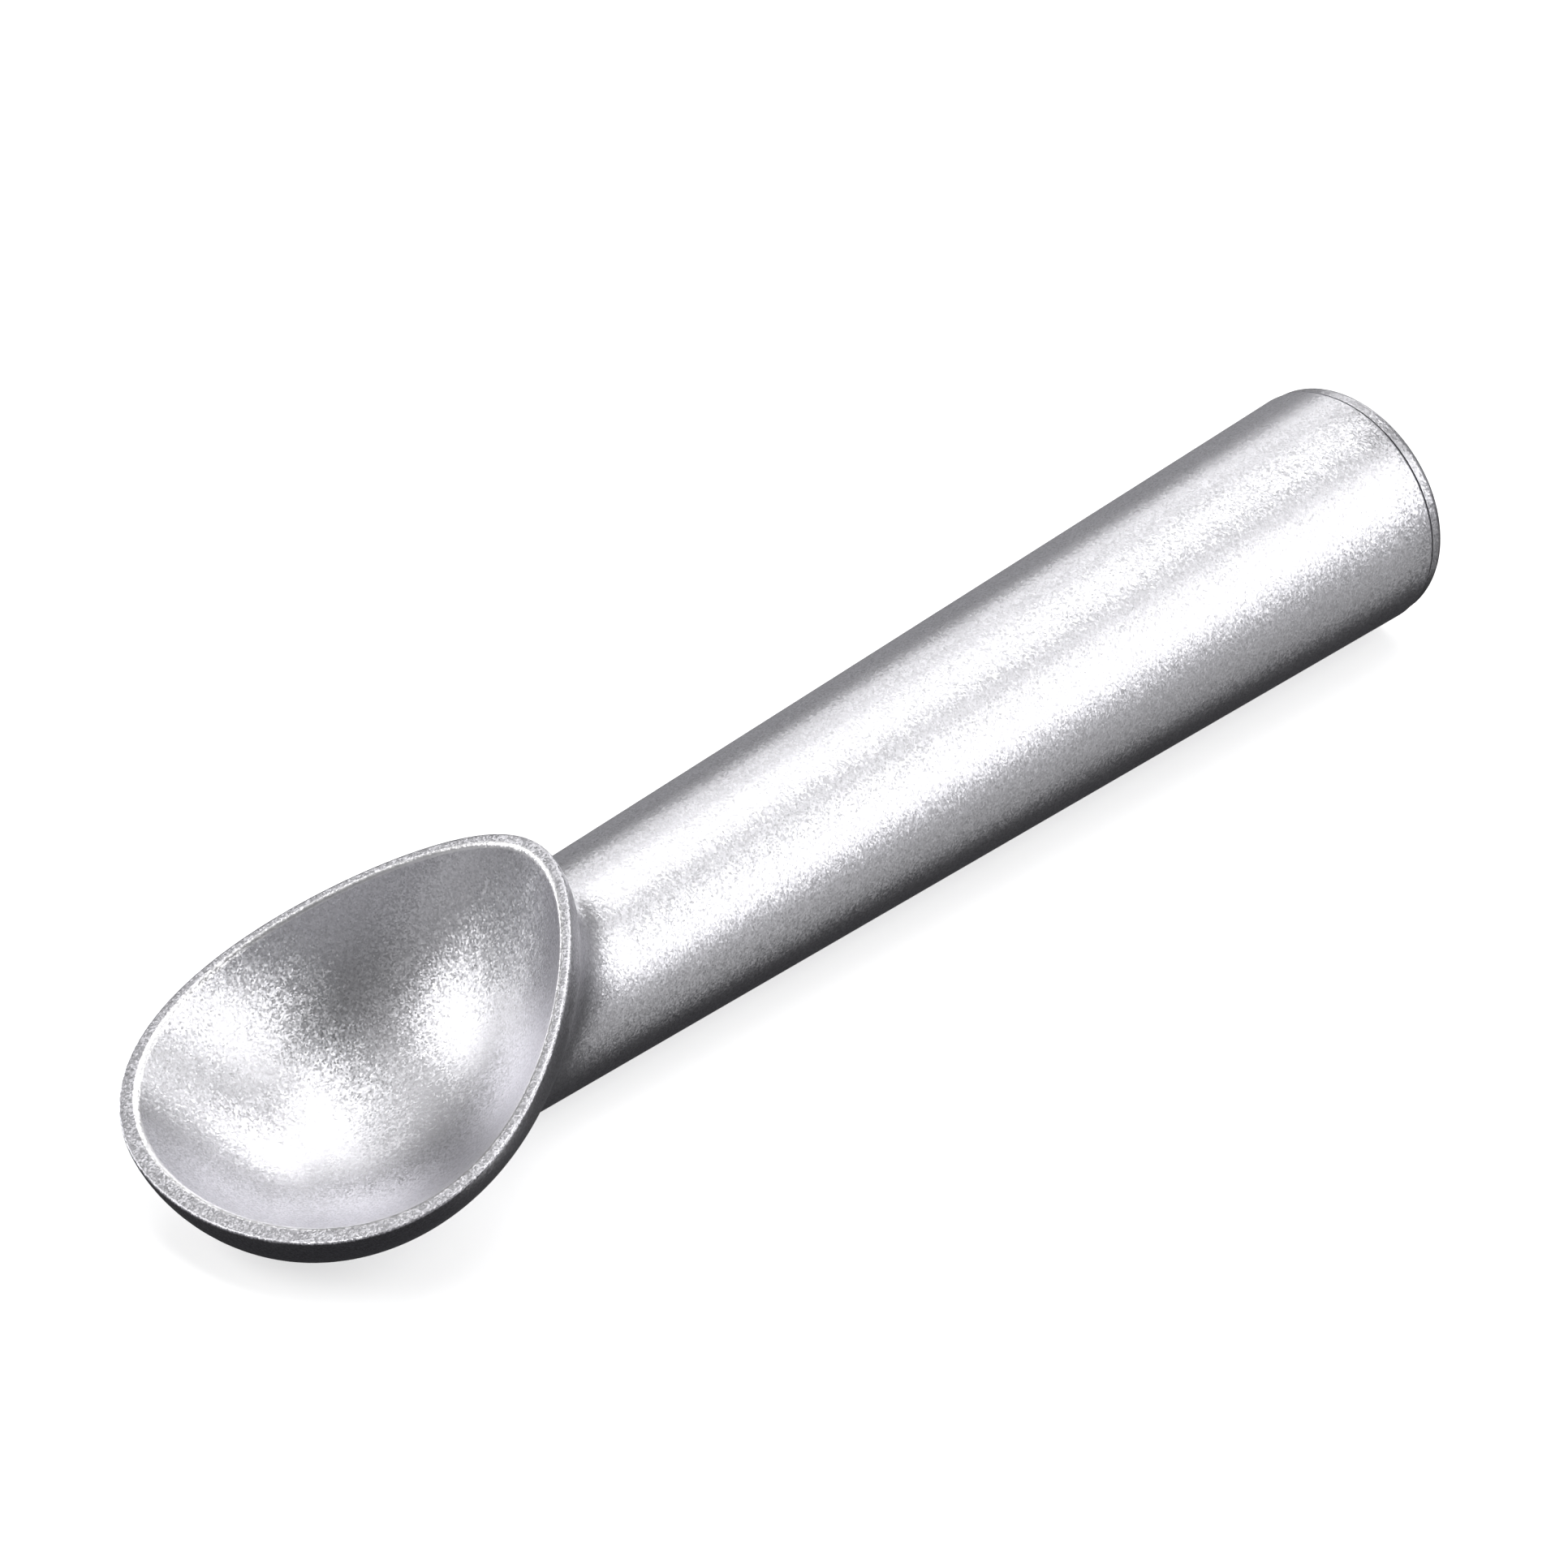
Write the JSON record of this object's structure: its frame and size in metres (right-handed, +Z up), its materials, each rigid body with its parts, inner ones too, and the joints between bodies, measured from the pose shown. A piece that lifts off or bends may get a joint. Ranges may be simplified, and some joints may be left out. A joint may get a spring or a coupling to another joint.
{
  "type": "ice cream scoop",
  "caption": "Cast aluminium ice cream scoop: an egg-shaped bowl with a flat lip flows into a thick tapered handle, which holds a warming liquid behind a sealed plug.",
  "frame": {"origin": "on the table under the middle of the scoop, which lies on its back on the bowl's underside and the heel of the handle", "axes": "+X along the handle from the bowl to the heel, +Y across the bowl, +Z up, the way the bowl opens"},
  "size_m": [0.1804, 0.047, 0.0292],
  "materials": {
    "cast_aluminium": "satin",
    "seal_rubber": "matte",
    "warming_liquid": "gloss"
  },
  "bodies": {
    "root": {"scoop_body": "cast_aluminium", "end_cap": "cast_aluminium", "cap_seal": "seal_rubber", "heat_fluid": "warming_liquid"}
  },
  "joints": []
}
